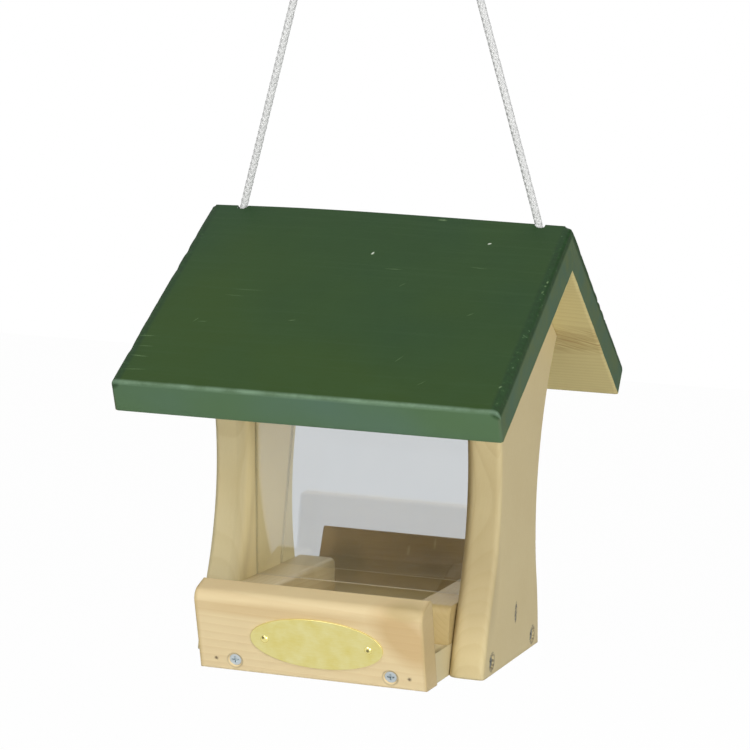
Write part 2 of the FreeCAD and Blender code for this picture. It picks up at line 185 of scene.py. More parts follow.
# Braided cord: up out of the right hole in the ridge, over a branch and down into the left hole
rope = {
    "diameter": 0.004,
    "route": [(0.0920, 0, 0.2460), (0.0920, 0, 0.2505), (0.0846, 0, 0.2733), (0.0292, 0, 0.4440),
              (0.0181, 0, 0.4781), (-0.0014, 0, 0.4915), (-0.0251, 0, 0.4904), (-0.0432, 0, 0.4750),
              (-0.0508, 0, 0.4400), (-0.0869, 0, 0.2740), (-0.0920, 0, 0.2505), (-0.0920, 0, 0.2460)],
    "length": 0.546,
    "slack": (0.4915, 0.2544),        # from the loop's top to the ridge
    "tailRoute": [(0.0654, 0, 0.2045), (0.0760, 0, 0.2045), (0.0920, 0, 0.2045), (0.0920, 0, 0.2205),
                  (0.0920, 0, 0.2460)],
    "tailLength": 0.0653,
    "tailPull": (0.2085, 0.2440),     # from the panel's hole to the ridge
    "routeSteps": 24,         # points between two places on a route
    "strands": 8,
    "strandRadius": 0.00092,
    "orbit": 0.00126,         # strand's middle from the cord's middle, loose strands stand proud
    "weave": 0.00022,         # how far a strand goes over and under the others
    "pitch": 0.0150,          # one turn of a strand
    "stepsPerTurn": 24,
    "aside": (0.1, 1, 0.2),   # a direction that no cord sets out in, the strands start from it
    "knotX": 0.0620,
    "knotZ": 0.2045,
    "knotScale": 0.00125,
    "knotSteps": 40,
    "knotGap": 0.02,          # share of the turn left open at each end of a knot
    "clean": "#E8E8E7",
    "grey": "#CDCECD",
    "hair": 0.00022222222,    # drawn coarser than the real 0.03 mm, which wouldn't show
    "soil": 0.00625,          # size of a greyed place
    "greying": {"hair": 0.45, "soil": 0.6, "start": -0.1},
    "hairHeight": 0.0001,
}

def meshFromCurve(data):        # the curve's shape as a mesh, the curve itself goes
    piece = newPiece(data.name + "Curve", data)
    mesh = finishedMesh(piece)
    bpy.data.objects.remove(piece)
    bpy.data.curves.remove(data)
    return mesh

def splineFrom(points, name):        # one smooth NURBS line along the route, read back as points
    data = bpy.data.curves.new(name, "CURVE")
    data.dimensions = "3D"
    data.resolution_u = rope["routeSteps"]
    spline = data.splines.new("NURBS")
    spline.points.add(len(points) - 1)
    for point, place in zip(spline.points, points):
        point.co = (*place, 1)
    spline.order_u = 3
    spline.use_endpoint_u = True
    mesh = meshFromCurve(data)
    line = [v.co.copy() for v in mesh.vertices]
    bpy.data.meshes.remove(mesh)
    return line

def evenSteps(line, step):        # the same line with its points a step apart
    lengths = [0.0]
    for a, b in zip(line, line[1:]):
        lengths.append(lengths[-1] + (b - a).length)
    count = max(2, round(lengths[-1] / step))
    even = []
    at = 0
    for i in range(count + 1):
        want = lengths[-1] * i / count
        while at < len(line) - 2 and lengths[at + 1] < want:
            at += 1
        share = (want - lengths[at]) / max(lengths[at + 1] - lengths[at], 1e-9)        # never divides by 0
        even.append(line[at].lerp(line[at + 1], min(max(share, 0), 1)))
    return even, lengths[-1]

def braidAlong(line, name):        # strands wound both ways round the line, over and under in turn
    points, length = evenSteps(line, rope["pitch"] / rope["stepsPerTurn"])
    last = len(points) - 1
    headings = [(points[min(i + 1, last)] - points[max(i - 1, 0)]).normalized() for i in range(last + 1)]
    ups = [headings[0].cross(Vector(rope["aside"])).normalized()]
    for heading in headings[1:]:        # carried along, so that the strands don't twist
        ups.append((ups[-1] - heading * ups[-1].dot(heading)).normalized())
    data = bpy.data.curves.new(name, "CURVE")
    data.dimensions = "3D"
    data.bevel_depth = rope["strandRadius"]
    data.bevel_resolution = 1
    data.use_fill_caps = True
    half = rope["strands"] // 2
    for strand in range(rope["strands"]):
        way = 1 if strand < half else -1
        spline = data.splines.new("POLY")
        spline.points.add(last)
        for i, point in enumerate(points):
            side = ups[i].cross(headings[i])
            turn = way * math.tau * i / rope["stepsPerTurn"] + math.tau * (strand % half) / half
            out = rope["orbit"] + way * rope["weave"] * math.cos(half * turn)
            place = point + out * (math.cos(turn) * side + math.sin(turn) * ups[i])
            spline.points[i].co = (*place, 1)
    mesh = meshFromCurve(data)
    mesh.name = name
    mesh.polygons.foreach_set("use_smooth", [True] * len(mesh.polygons))
    return mesh, points, length

def fibreMaterial():        # white braided polyester: dull fibres across each strand, greyed in places
    material, tree = newMaterial("braided polyester")
    place = addNode(tree, "TexCoord").outputs["Object"]
    hairs = addNode(tree, "TexNoise", {"Vector": place, "Scale": 1 / rope["hair"], "Detail": 2.0})
    soil = addNode(tree, "TexNoise", {"Vector": place, "Scale": 1 / rope["soil"], "Detail": 3.0})
    part = rope["greying"]
    share = addNode(tree, "Math", {0: hairs, 1: part["hair"], 2: part["start"]}, operation="MULTIPLY_ADD")
    share = addNode(tree, "Math", {0: soil, 1: part["soil"], 2: share}, operation="MULTIPLY_ADD",
                    use_clamp=True)
    colour = addNode(tree, "Mix", {0: share, 6: linear(rope["clean"]), 7: linear(rope["grey"])},
                     data_type="RGBA")
    bump = addNode(tree, "Bump", {"Strength": 0.5, "Distance": rope["hairHeight"], "Height": hairs})
    shader = addNode(tree, "BsdfPrincipled", {"Base Color": colour, "Roughness": 0.85, "Sheen Weight": 0.2,
                                              "Specular IOR Level": 0.25, "Normal": bump})
    addNode(tree, "OutputMaterial", {"Surface": shader})
    return material

def knotLine(sign):        # one pass of an overhand knot, lying flat against the panel
    line = []
    for i in range(rope["knotSteps"]):
        t = math.tau * (rope["knotGap"] + (1 - 2 * rope["knotGap"]) * i / (rope["knotSteps"] - 1))
        across = Vector((math.sin(t) + 2 * math.sin(2 * t), math.cos(t) - 2 * math.cos(2 * t)))
        across = across * rope["knotScale"]
        deep = -math.sin(3 * t) * rope["knotScale"]
        line.append((sign * (rope["knotX"] + deep), across.x, rope["knotZ"] + across.y))
    return splineFrom(line, "knotRoute")

def makeCord():
    fibre = fibreMaterial()
    mesh, points, length = braidAlong(splineFrom(rope["route"], "cordRoute"), "braidedCord")
    print("cord above the roof, m:", round(length, 4))
    mesh.materials.append(fibre)
    cord = newPiece("braidedCord", mesh)
    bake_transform(cord)
    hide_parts("hanging_cord")
    for sign, side in ((1, "right"), (-1, "left")):
        mesh = braidAlong(knotLine(sign), "cordKnot_" + side)[0]
        mesh.materials.append(fibre)
        knot = newPiece("cordKnot_" + side, mesh, "house")
        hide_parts("cord_knot_" + side)
        route = [(sign * x, y, z) for x, y, z in rope["tailRoute"]]
        mesh, points, length = braidAlong(splineFrom(route, "tailRoute"), "cordTail_" + side)
        print("cord under the roof, m:", side, round(length, 4))
        mesh.materials.append(fibre)
        tail = newPiece("cordTail_" + side, mesh)
        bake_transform(tail)
        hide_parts("cord_tail_" + side)

makeCord()
print("cord braided")

# Pine: one solid pattern of growth rings for each board, cut open by the board's own faces.
# Turn and lean of the grain are in degrees, heart is the tree's middle, soft the radius of worn edges.
# Patches of colour for end grain, uneven tone, and painted light and shade; each: spot, reach, turn in
# degrees, share, colour.
planks = {
    "side_panel_left": {
        "early": "#E4D7AC", "late": "#D2C190", "turn": (0, 90, 0), "heart": (-0.090, -0.115, 0),
        "ring": 0.0034, "lean": 5, "soft": 0.0020,
        # the first patch is painted light over the inner face
        "stainsAndPaintedLight": [((-0.0655, 0, 0.12), (0.003, 0.3, 0.3), (0, 0, 0), 0.62, "#F8E9B4"),
                   ((-0.078, -0.060, 0.060), (0.03, 0.020, 0.045), (0, 0, 0), 0.45, "#BBAE86"),
                   # painted shade on the rounding of the inner front edge
                   ((-0.0665, -0.052, 0.095), (0.0068, 0.018, 0.08), (0, 0, 0), 0.42, "#A8996F")]},
    "side_panel_right": {
        "early": "#DACA9C", "late": "#CBB786", "turn": (0, 90, 0), "heart": (0.077, -0.110, 0),
        "ring": 0.0024, "lean": 9, "soft": 0.0022,
        "stainsAndPaintedLight": [((0.078, -0.054, 0.056), (0.018, 0.018, 0.036), (0, 0, 0), 0.5, "#AE9C72"),
                   # painted shade on the rounding of the inner front edge
                   ((0.0660, -0.045, 0.11), (0.0038, 0.03, 0.12), (0, 0, 0), 0.6, "#A08D64")]},
    "floor_board": {
        "early": "#F0E4C0", "late": "#E2D1A3", "turn": (0, 0, 0), "heart": (0, 0.02, 0.060),
        "ring": 0.0036, "lean": 2,
        "stainsAndPaintedLight": [((0.0655, 0, 0.01), (0.003, 0.3, 0.3), (0, 0, 0), 0.85, "#D2C49A")]},
    # lighter than the right strip: painted light on its top, which the lamps barely reach
    "seed_strip_left": {
        "early": "#E0D2AC", "late": "#CDB98C", "turn": (0, 0, 90), "heart": (-0.02, 0, 0.010),
        "ring": 0.0028, "lean": 2},
    "seed_strip_right": {
        "early": "#C0AB79", "late": "#B8A26E", "turn": (0, 0, 90), "heart": (0.09, 0, 0.060),
        "ring": 0.0028, "lean": 2},
    "front_rail": {
        "early": "#E8D4A7", "late": "#DCC395", "turn": (0, 0, 0), "heart": (0, -0.070, -0.035),
        "ring": 0.0046, "lean": 2, "soft": 0.0018,
        "stainsAndPaintedLight": [((0.056, -0.112, 0.030), (0.022, 0.05, 0.0125), (0, 42, 0), 0.75, "#CBAA76"),
                   ((-0.018, -0.116, 0.0375), (0.062, 0.05, 0.0045), (0, 0, 0), 0.4, "#CBAA76"),
                   # painted shade over the highlight on the rounding near the right end
                   ((0.057, -0.118, 0.0455), (0.013, 0.05, 0.005), (0, 0, 0), 0.6, "#BDA876"),
                   ((0.069, -0.108, 0.025), (0.0035, 0.06, 0.06), (0, 0, 0), 0.85, "#C9B17E"),
                   ((-0.069, -0.108, 0.025), (0.0035, 0.06, 0.06), (0, 0, 0), 0.85, "#C9B17E")]},
    "back_rail": {
        "early": "#DCC493", "late": "#C3A269", "turn": (0, 0, 0), "heart": (0, 0.085, -0.020),
        "ring": 0.0040, "lean": -2,
        # the first patch is painted shade over the inner face, in the hopper; the small ones are lighter and
        # darker spots
        "stainsAndPaintedLight": [((0, 0.0929, 0.0258), (0.2, 0.007, 0.06), (-19.5, 0, 0), 0.7, "#7A6545"),
                   ((-0.0640, 0.0993, 0.0430), (0.0065, 0.007, 0.012), (0, 0, 0), 0.6, "#B79C72"),
                   ((-0.0480, 0.0950, 0.0310), (0.0120, 0.007, 0.016), (0, 0, 0), 0.45, "#5F583A"),
                   ((-0.0240, 0.1004, 0.0470), (0.0120, 0.007, 0.004), (0, 0, 0), 0.35, "#A58C66"),
                   ((0.0130, 0.0960, 0.0350), (0.0140, 0.007, 0.012), (0, 0, 0), 0.3, "#6A5830"),
                   ((-0.0090, 0.0982, 0.0410), (0.0011, 0.007, 0.003), (0, 0, 0), 0.6, "#C0AF84"),
                   ((0.0075, 0.1003, 0.0467), (0.0008, 0.007, 0.0036), (0, 0, 0), 0.7, "#C0AF84")]},
}
# Painted shade along the window grooves, the same on both panels, front and back
grooveShade = {"spot": (0.0655, 0.0312, 0.12), "reach": (0.002, 0.0024, 0.11), "lean": 7.5, "share": 0.6,
              "colour": "#7E6F4C"}
# Fasteners in the rails and panels, mirrored from side to side and from front to back
fixings = {"screws": (0.046, 0.1049, 0.0059), "brads": (0.0572, 0.1050, 0.0063),
           "sunk": (0.087, 0.044, 0.0075), "slits": (0.087, 0.0038, 0.028)}
# Darker wood round them, bruised and in places painted shade: reach from the middle, where it starts, how
# dark, whether it is patchy
bruisesAndShade = {
    "colour": "#6E6452",
    "rim": (1.1, 0.92),       # fades out over this share of the reach
    "start": (-0.01, 0.08),   # and in round its start
    "crushed": 0.001429,      # size of a patch of crushed wood
    "patchy": (0.36, 0.56),
    # round the rail screws a bruised ring, darkened as painted shade in the countersink
    "kinds": {"screws": ((0.0048, 0.0048, 0.0048), 0.84, 0.4, False),
              "brads": ((0.0013, 0.0013, 0.0013), 0.0, 0.2, True),
              # a dark, patchy disc round each sunk panel screw
              "sunk": ((0.0058, 0.0058, 0.0058), 0.0, 0.85, True),
              # painted shade round each staple, in its slit
              "slits": ((0.0030, 0.0026, 0.0064), 0.0, 0.85, True)},
}
# What the grain of all the boards shares
grain = {
    "stretch": 14,            # rings and fibres run this much longer along the board
    "wavePeriod": 0.314,      # of a wave texture at scale 1
    "waviness": 1.6,
    "acrossRing": [(0.0, 0.15), (0.08, 0.0), (0.55, 0.25), (0.90, 0.85), (1.0, 0.5)],
    "fibre": 0.00066667,      # drawn coarser than the real 0.03 mm, which wouldn't show
    "patch": 0.0385,
    "late": {"ring": 0.38, "fibre": 0.35, "patch": 0.45, "start": -0.15},
    "stainEdge": (1.25, 0.6),
    "rough": (0.50, 0.68),
    "soft": 0.0008,           # radius of an edge that isn't worn
    "height": 0.0002,
    "fibreHeight": 0.5,       # against the height of a ring
}

def markPlanks():        # gives the rails and panels their fasteners, and the panels their dust
    for sign, name in ((-1, "front_rail"), (1, "back_rail")):
        for kind in ("screws", "brads"):
            x, y, z = fixings[kind]
            planks[name][kind] = [(-x, sign * y, z), (x, sign * y, z)]
    for sign, name in ((-1, "side_panel_left"), (1, "side_panel_right")):
        x, y, z = fixings["sunk"]
        planks[name]["sunk"] = [(sign * x, -y, z), (sign * x, y, z)]
        x, y, z = fixings["slits"]
        planks[name]["slits"] = [(sign * x, y, z)]
        x, y, z = grooveShade["spot"]
        for front in (-1, 1):
            planks[name]["stainsAndPaintedLight"].append(((sign * x, front * y, z), grooveShade["reach"],
                                           (-front * grooveShade["lean"], 0, 0), grooveShade["share"],
                                           grooveShade["colour"]))

def woodGrain(tree, place, plank):        # colour and height of growth rings, fibres and soft patches
    turn = [math.radians(a) for a in plank["turn"]]
    turn[1] += math.radians(plank["lean"])
    along = addNode(tree, "Mapping", {"Vector": place, "Location": plank["heart"], "Rotation": turn,
                                      "Scale": (grain["stretch"], 1, 1)}, vector_type="TEXTURE")
    rings = addNode(tree, "TexWave", {"Vector": along, "Scale": grain["wavePeriod"] / plank["ring"],
                                      "Distortion": grain["waviness"], "Detail": 2.0, "Detail Scale": 0.6},
                    wave_type="RINGS", rings_direction="X", wave_profile="SAW").outputs["Fac"]
    late = addNode(tree, "ValToRGB", {0: rings}, ramp=grain["acrossRing"])
    fibres = addNode(tree, "TexNoise", {"Vector": along, "Scale": 1 / grain["fibre"], "Detail": 3.0,
                                        "Roughness": 0.6})
    patches = addNode(tree, "TexNoise", {"Vector": place, "Scale": 1 / grain["patch"], "Detail": 2.0})
    part = grain["late"]
    share = addNode(tree, "Math", {0: late, 1: part["ring"], 2: part["start"]}, operation="MULTIPLY_ADD")
    share = addNode(tree, "Math", {0: fibres, 1: part["fibre"], 2: share}, operation="MULTIPLY_ADD")
    share = addNode(tree, "Math", {0: patches, 1: part["patch"], 2: share}, operation="MULTIPLY_ADD",
                    use_clamp=True)
    colour = addNode(tree, "Mix", {0: share, 6: linear(plank["early"]), 7: linear(plank["late"])},
                     data_type="RGBA")
    height = addNode(tree, "Math", {0: fibres, 1: grain["fibreHeight"], 2: late}, operation="MULTIPLY_ADD")
    return colour, height, fibres

def woodMaterial(name, plank):        # planed untreated pine: soft rings, fine fibres, almost no shine
    material, tree = newMaterial(name)
    place = addNode(tree, "TexCoord").outputs["Object"]
    colour, height, fibres = woodGrain(tree, place, plank)
    # patches of end grain, uneven tone, and painted light and shade
    for spot, reach, angles, share, hue in plank.get("stainsAndPaintedLight", []):
        away = fromOval(tree, place, spot, reach, angles)
        stainAndLightShare = addNode(tree, "MapRange", {"Value": away, "To Max": share}, span=grain["stainEdge"])
        colour = addNode(tree, "Mix", {0: stainAndLightShare, 6: colour, 7: linear(hue)}, data_type="RGBA")
    crushed = addNode(tree, "TexNoise", {"Vector": place, "Scale": 1 / bruisesAndShade["crushed"], "Detail": 2.0})
    crushed = addNode(tree, "MapRange", {"Value": crushed}, span=bruisesAndShade["patchy"])
    for kind, (reach, start, dark, patchy) in bruisesAndShade["kinds"].items():
        for spot in plank.get(kind, []):
            away = fromOval(tree, place, spot, reach)
            outside = addNode(tree, "MapRange", {"Value": away}, span=bruisesAndShade["rim"])
            inside = addNode(tree, "MapRange", {"Value": away, "To Max": dark},
                             span=[start + by for by in bruisesAndShade["start"]])
            mark = addNode(tree, "Math", {0: outside, 1: inside}, operation="MULTIPLY")
            if patchy:
                mark = addNode(tree, "Math", {0: mark, 1: crushed}, operation="MULTIPLY")
            colour = addNode(tree, "Mix", {0: mark, 6: colour, 7: linear(bruisesAndShade["colour"])},
                             data_type="RGBA")
    low, high = grain["rough"]
    rough = addNode(tree, "MapRange", {"Value": fibres, "To Min": low, "To Max": high})
    soft = addNode(tree, "Bevel", {"Radius": plank.get("soft", grain["soft"])}, samples=4)
    bump = addNode(tree, "Bump", {"Strength": 0.35, "Distance": grain["height"], "Height": height,
                                  "Normal": soft})
    shader = addNode(tree, "BsdfPrincipled", {"Base Color": colour, "Roughness": rough,
                                              "Specular IOR Level": 0.3, "Normal": bump})
    addNode(tree, "OutputMaterial", {"Surface": shader})
    return material

def dress(names, material):        # CAD nodes keep their shape and take this material
    for name in names:
        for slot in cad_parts[name].material_slots:
            slot.material = material

markPlanks()
for name, plank in planks.items():
    dress([name], woodMaterial("planed pine " + name, plank))
print("boards dressed")

# Roof: two painted boards joined at the ridge, with knocked edges and holes for the cord
roof = {
    "ridgeZ": 0.2544,
    "pitch": math.radians(32.4),
    "run": 0.1436,
    "thick": 0.0215,
    "half": 0.1122,
    "eaveRound": 0.0022,
    "gableRounds": (0.0013, 0.0042),        # left and right end of the house
    "overlap": 0.0003,        # each board runs this far past the ridge, so that no light shows
    "onEdge": 1e-6,           # what is closer to an edge lies on it
    "leftCut": 0.0017,        # the ends are sawn a little out of square
    "rightCut": (0.0005, 0.0017),           # all along, and more on top at the ridge
    "cutReach": 0.02,         # how far in from its end a board gives way to that
    "holeX": 0.0916,
    "holeRadius": 0.0027,
    "drillLength": 0.09,
    "drillSides": 40,
    "voxel": 0.0011,
    "smoothing": 0.15,
    "sharp": math.radians(38),
    "dent": 0.0005,           # usual knock along an upper edge
    "dentReach": 0.006,
    "dentsPerMetre": (95, 310),             # broad ones and fine ones
    "fineDents": 0.3,
    "nickReach": 0.0042,
    "nickRag": 0.0008,        # how uneven a nick is
    "ragsPerMetre": 420,
    "noiseShift": (7.3, 3.1, 5.7),          # times a board's seed, so that no two boards are alike
    "bow": 0.0024,            # the boards have warped up this much at the ridge
    "bowAt": -0.040,
    "bowSpread": (0.09, 0.14),
}
slope = roof["run"] / math.cos(roof["pitch"])        # length of a board from the ridge to the eave
# A chip or scratch: along the ridge, down the slope, length and width in mm, turn in degrees, paint lost.
# A nick in a gable edge: which end, down the slope in mm, depth in mm.
boards = {
    "front": {
        "turned": False, "seed": 3,
        "chips": [(2.3, 38.2, 2.6, 1.3, 70, 0.95), (67.4, 21.3, 2.2, 1.2, 30, 0.9),
                  (33.8, 1.6, 5.0, 1.4, 0, 0.35), (107.2, 148.7, 2.2, 1.2, 60, 0.35),
                  (-80.9, 110.4, 4.0, 0.5, 60, 0.25), (-76.5, 111.5, 5.0, 0.5, 8, 0.2),
                  (-25.1, 104.9, 4.0, 0.6, 15, 0.25), (18.7, 51.6, 9.0, 0.5, 2, 0.22),
                  (67.5, 45.0, 9.0, 0.5, -4, 0.18), (27.9, 65.7, 4.0, 0.5, 50, 0.2),
                  (73.9, 88.0, 4.0, 0.6, 40, 0.2), (45.6, 131.5, 6.0, 0.5, 60, 0.18),
                  (63.7, 150.6, 5.0, 0.5, 50, 0.16), (-104.5, 127.8, 9.0, 0.6, 4, 0.22),
                  (-101.5, 137.0, 8.0, 0.6, 2, 0.16), (-102.0, 146.0, 9.0, 0.7, -3, 0.24),
                  (-101.0, 158.0, 12.0, 0.7, 5, 0.16), (-60.0, 80.0, 16.0, 0.6, 1, 0.12),
                  (-66.0, 86.0, 10.0, 0.6, -2, 0.12), (109.3, 53.0, 2.0, 0.9, 80, 0.35),
                  (109.0, 56.5, 1.6, 0.8, 70, 0.25), (108.8, 62.5, 2.6, 0.8, 75, 0.25)],
        "nicks": [(-1, 32, 0.25), (-1, 46, 0.2), (-1, 63, 0.3), (-1, 141, 0.3), (1, 58, 0.5), (1, 96, 0.4),
                  (1, 0, 0.6)]},
    "back": {
        "turned": True, "seed": 8,
        "chips": [(-109.0, 52.0, 2.0, 1.2, 80, 0.5), (24.0, 72.0, 6.0, 0.5, 70, 0.25),
                  (-52.0, 118.0, 5.0, 0.5, 30, 0.25), (70.0, 30.0, 12.0, 0.5, 2, 0.15),
                  (-20.0, 140.0, 9.0, 0.5, -3, 0.15)],
        "nicks": [(-1, 85, 0.9), (-1, 94, 0.6), (-1, 106, 1.0), (-1, 0, 0.6), (1, 70, 0.3)]},
}

def boardPlace(turned):        # from the board's own axes, along the ridge and up the slope, to the house
    place = Matrix.Translation((0, 0, roof["ridgeZ"])) @ Matrix.Rotation(roof["pitch"], 4, "X")
    return Matrix.Rotation(math.pi, 4, "Z") @ place if turned else place

def boardBlank(place, rounds):        # a mitred board with rounded upper edges, and the drill for its holes
    bm = bmesh.new()
    size = Matrix.Diagonal((2 * roof["half"], slope, roof["thick"], 1))
    middle = Matrix.Translation((0, -slope / 2, -roof["thick"] / 2))
    bmesh.ops.create_cube(bm, size=1, matrix=middle @ size)
    mitre = Vector((0, math.cos(roof["pitch"]), -math.sin(roof["pitch"])))
    cut = bmesh.ops.bisect_plane(bm, geom=bm.verts[:] + bm.edges[:] + bm.faces[:],
                                 plane_co=mitre * roof["overlap"], plane_no=mitre, clear_outer=True)
    rim = [g for g in cut["geom_cut"] if isinstance(g, bmesh.types.BMEdge)]
    bmesh.ops.holes_fill(bm, edges=rim, sides=0)
    for offset, way in ((rounds[0], Vector((-1, 0, 0))), (rounds[1], Vector((1, 0, 0))),
                        (roof["eaveRound"], Vector((0, -1, 0)))):
        reach = slope if way.y else roof["half"]
        upper = []
        for edge in bm.edges:
            spot = (edge.verts[0].co + edge.verts[1].co) / 2
            if spot.z > -roof["onEdge"] and spot.dot(way) > reach - roof["onEdge"]:
                upper.append(edge)
        bmesh.ops.bevel(bm, geom=upper, offset=offset, segments=4, profile=0.5, affect="EDGES", material=-1)
    bmesh.ops.recalc_face_normals(bm, faces=bm.faces)
    blank = bpy.data.meshes.new("boardBlank")
    bm.to_mesh(blank)
    bm.clear()
    for x in (-roof["holeX"], roof["holeX"]):
        bmesh.ops.create_cone(bm, cap_ends=True, segments=roof["drillSides"], radius1=roof["holeRadius"],
                              radius2=roof["holeRadius"], depth=roof["drillLength"],
                              matrix=place.inverted() @ Matrix.Translation((x, 0, roof["ridgeZ"])))
    drill = bpy.data.meshes.new("ridgeDrill")
    bm.to_mesh(drill)
    bm.free()
    return blank, drill

def boredBoard(place, rounds):        # the blank with its holes, remeshed so that every part of it can wear
    blank, drill = boardBlank(place, rounds)
    work = newPiece("boardWork", blank)
    tool = newPiece("drillWork", drill)
    bore = work.modifiers.new("bore", "BOOLEAN")
    bore.object = tool
    bore.operation = "DIFFERENCE"
    bore.solver = "EXACT"
    grid = work.modifiers.new("grid", "REMESH")
    grid.mode = "VOXEL"
    grid.voxel_size = roof["voxel"]
    mesh = finishedMesh(work)
    for piece, data in ((work, blank), (tool, drill)):
        bpy.data.objects.remove(piece)
        bpy.data.meshes.remove(data)
    return mesh

def edgeLayers(bm, rounds):        # how far each point is from the top, the eave's and gable's edges, the end
    layers = {key: bm.verts.layers.float.new(key) for key in ("depth", "eaveEdge", "gableEdge", "gableFace")}
    for vert in bm.verts:
        x, y, z = vert.co
        end = roof["half"] - abs(x)
        gableRound = rounds[1 if x > 0 else 0]
        turn = max(0.0, gableRound - end)
        drop = gableRound - math.sqrt(max(0.0, gableRound ** 2 - turn ** 2))
        vert[layers["depth"]] = -z
        vert[layers["eaveEdge"]] = math.hypot(slope + y, -z - drop)
        vert[layers["gableEdge"]] = math.hypot(end, -z)
        vert[layers["gableFace"]] = end
    return layers

def wearMoves(bm, layers, turned, seed, nicks):        # how far knocks, nicks and the saw move each point
    shift = Vector([seed * by for by in roof["noiseShift"]])
    broad, fine = roof["dentsPerMetre"]
    moves = []
    for vert in bm.verts:
        x, y, z = vert.co
        end = roof["half"] - abs(x)
        spot = vert.co + shift
        near = max(0.0, 1 - min(vert[layers["eaveEdge"]], vert[layers["gableEdge"]]) / roof["dentReach"])
        dents = noise.noise(spot * broad) + roof["fineDents"] * noise.noise(spot * fine)
        knock = roof["dent"] * near * max(0.0, dents)
        for side, down, deep in nicks:
            if side * x > 0:
                away = Vector((end, y + down / 1000, -z)).length
                away += roof["nickRag"] * noise.noise(spot * roof["ragsPerMetre"])
                knock += deep / 1000 * max(0.0, 1 - away / roof["nickReach"])
        move = -vert.normal * knock
        high = 1 + z / roof["thick"]
        if (x > 0) == turned:
            sawn = roof["leftCut"] * high
        else:
            sawn = roof["rightCut"][0] + roof["rightCut"][1] * high * max(0.0, 1 + y / slope)
        move.x -= math.copysign(sawn, x) * max(0.0, 1 - end / roof["cutReach"])
        moves.append(move)
    return moves

def boardMesh(name, turned, seed, nicks):        # bored and remeshed, then worn and warped point by point
    place = boardPlace(turned)
    rounds = roof["gableRounds"][::-1] if turned else roof["gableRounds"]
    mesh = boredBoard(place, rounds)
    mesh.name = name
    bm = bmesh.new()
    bm.from_mesh(mesh)
    bmesh.ops.smooth_vert(bm, verts=bm.verts, factor=roof["smoothing"], use_axis_x=True, use_axis_y=True,
                          use_axis_z=True)
    bm.normal_update()
    layers = edgeLayers(bm, rounds)
    for vert, move in zip(bm.verts, wearMoves(bm, layers, turned, seed, nicks)):
        vert.co = place @ (vert.co + move)
        x, y = vert.co.x, abs(vert.co.y)
        spread = roof["bowSpread"][0 if x < roof["bowAt"] else 1]
        upper = max(0.0, 1 - vert[layers["depth"]] / roof["thick"])
        lift = roof["bow"] * max(0.0, 1 - y / roof["run"]) * upper
        vert.co.z += lift * math.exp(-((x - roof["bowAt"]) / spread) ** 2)
    for face in bm.faces:
        face.smooth = True
    bm.to_mesh(mesh)
    bm.free()
    mesh.set_sharp_from_angle(angle=roof["sharp"])
    return mesh

# Paint on the roof boards: colours, sizes of its patterns, how far from an edge each part of it reaches
paint = {
    "top": ("#2A4629", "#334C20"),
    "streak": "#3D5736",
    # the eave's pale colour is partly thin paint, partly painted sheen
    "eave": ("#55724E", "#577360"),
    "gable": ("#566D58", "#61714F"),
    # dark specks on the gable edges, partly a painted dark reflection
    "dark": "#253A24",
    # pale worn paint; along the eave also a painted highlight on its rounding
    "worn": "#8BA98E",
    "scuff": "#7E9C6C",       # thin paint in a faint scratch
    "chip": "#E6EBE0",
    "mottle": 0.01818,        # cloudy cover
    "speckle": 0.002381,      # dried bits in the paint
    "broad": 0.1111,          # faded places
    "brushMark": (0.07143, 0.00303, 0.00303),
    "ragged": 0.001111,       # teeth along the edge of a chip
    "raggedBy": (0.0007, 0.0007, 0),
    "chipDepth": 0.006,
    "chipEdge": (1.35, 0.5),
    "chipCover": 1.8,         # the middle of a chip covers all the paint
    "fade": -2.2,             # per metre up the slope
    "faded": (0.48, 0.86),
    "cool": (0.40, 0.68),
    "blotch": [(0.36, 0.0), (0.64, 1.0)],
    "stroke": [(0.52, 0.0), (0.80, 0.26)],
    "blotchStreaks": 0.18,
    "turnDown": (0.0007, 0.0022),           # depth where the top becomes the side
    "endFace": (0.0018, 0.0006),
    "gableBand": (0.0062, 0.0042),
    "bandShare": 0.8,
    "eaveRubAndHighlight": (0.0026, 0.0009),
    "lineGaps": [(0.38, 0.35), (0.60, 0.62)],
    "drip": 0.0016,           # how uneven the paint's lower edge is on the ends
    "lowerEdge": 0.0003,
    "rough": (0.38, 0.58),
    "endRough": 0.9,
    "woodRough": 0.7,
    "height": 0.00015,
    "brushHeight": 0.6,       # against the height of a speckle, as is the next
    "chipHeight": -1.5,
}
# Bare underside of the roof boards, torn by the saw in one band
underside = {
    "wood": {"early": "#D6CA92", "late": "#C1B07D", "turn": (0, 0, 0), "heart": (0, 0.05, 0.16),
             "ring": 0.0030, "lean": 3},
    "torn": "#A98F5C",
    "tear": (0.020, 0.0016, 0.020),
    "tearTurn": math.radians(25),
    "tears": (0.38, 0.66),
    "tearShare": 0.9,
    "bandTop": (-0.080, -0.089),
    "bandFoot": (-0.119, -0.108),
    "tearHeight": -2.0,       # against the height of a ring
}

